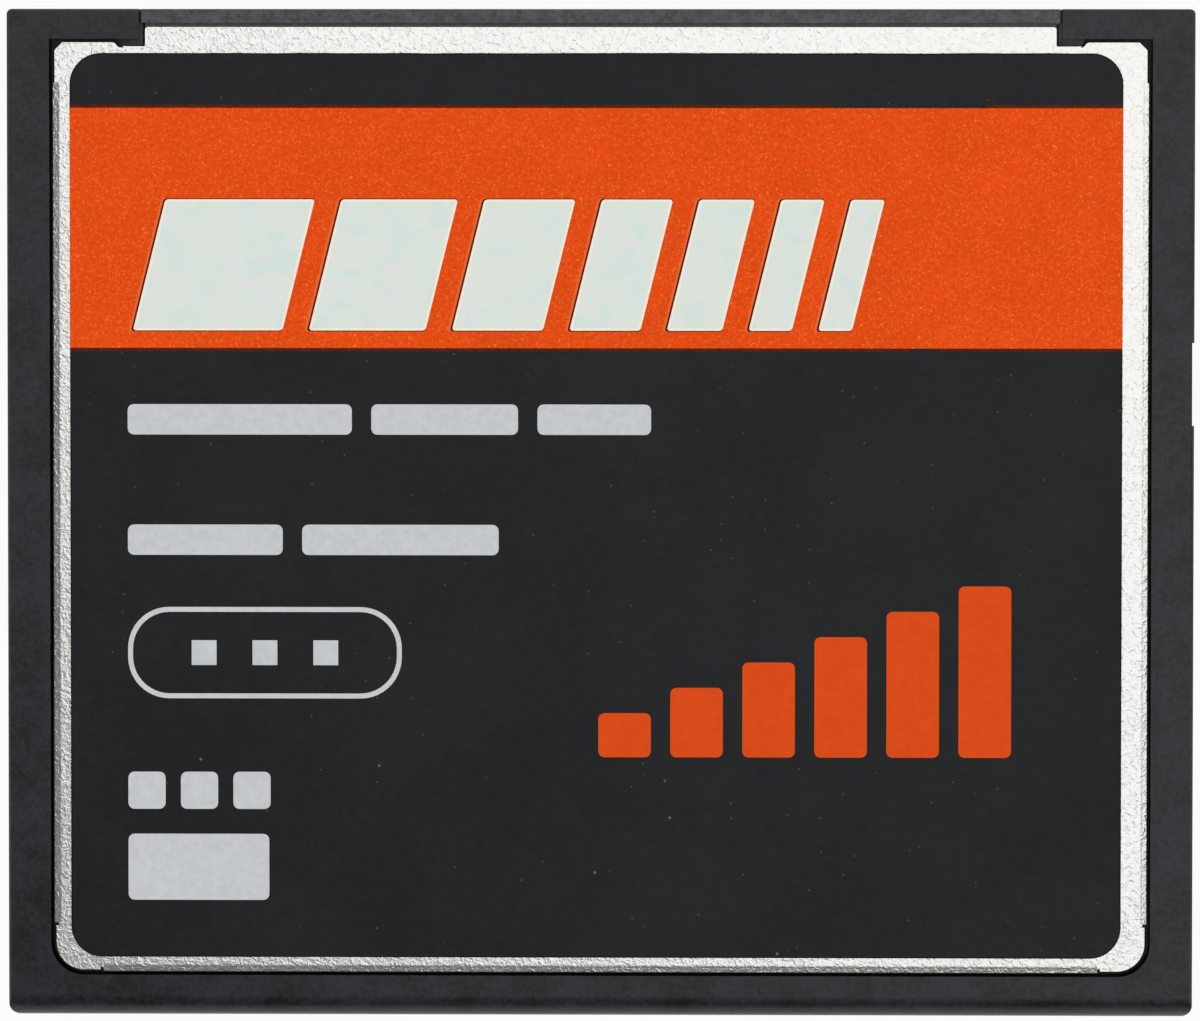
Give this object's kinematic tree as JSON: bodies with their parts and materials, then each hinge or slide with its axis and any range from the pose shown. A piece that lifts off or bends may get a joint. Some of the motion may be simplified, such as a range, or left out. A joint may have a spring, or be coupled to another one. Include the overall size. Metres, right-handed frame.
{
  "type": "compact flash card",
  "caption": "Flat rectangular memory card: dark plastic frame, folded steel covers, printed label with an orange band and a socket connector along one edge.",
  "frame": {"origin": "middle of the back face, on the surface that the card lies on", "axes": "+X to the right across the card, +Y towards the connector edge, +Z out of the label"},
  "size_m": [0.0428, 0.0364, 0.0033],
  "materials": {
    "frame_plastic": "fine moulded grain, semi-matte",
    "cover_steel": "bead-blasted stainless sheet",
    "connector_plastic": "glass-filled plastic, cloudy grey",
    "contact_metal": "gold-plated copper alloy",
    "board_laminate": "green solder mask on glass-fibre laminate",
    "chip_resin": "moulded epoxy, matte",
    "lead_metal": "tin-plated, satin",
    "capacitor_ceramic": "unglazed ceramic",
    "resistor_ceramic": "glass-coated ceramic",
    "label_dark": "printed film, finely speckled",
    "label_orange": "printed film with fine glitter",
    "raised_white": "thick gloss print",
    "print_grey": "flat print",
    "print_red": "flat print"
  },
  "bodies": {
    "root": {"frame": "frame_plastic", "top_cover": "cover_steel", "bottom_cover": "cover_steel", "connector_housing": "connector_plastic", "upper_contacts": "contact_metal", "lower_contacts": "contact_metal", "circuit_board": "board_laminate", "controller_package": "chip_resin", "controller_leads": "lead_metal", "upper_flash_package": "chip_resin", "upper_flash_leads": "lead_metal", "lower_flash_package": "chip_resin", "lower_flash_leads": "lead_metal", "regulator_package": "chip_resin", "regulator_leads": "lead_metal", "capacitor_bodies": "capacitor_ceramic", "capacitor_ends": "lead_metal", "resistor_bodies": "resistor_ceramic", "resistor_ends": "lead_metal", "label_sheet": "label_dark", "label_band": "label_orange", "raised_bars": "raised_white", "print_lines": "print_grey", "badge_ring": "print_grey", "grey_panel": "print_grey", "capacity_bars": "print_red"}
  },
  "joints": []
}
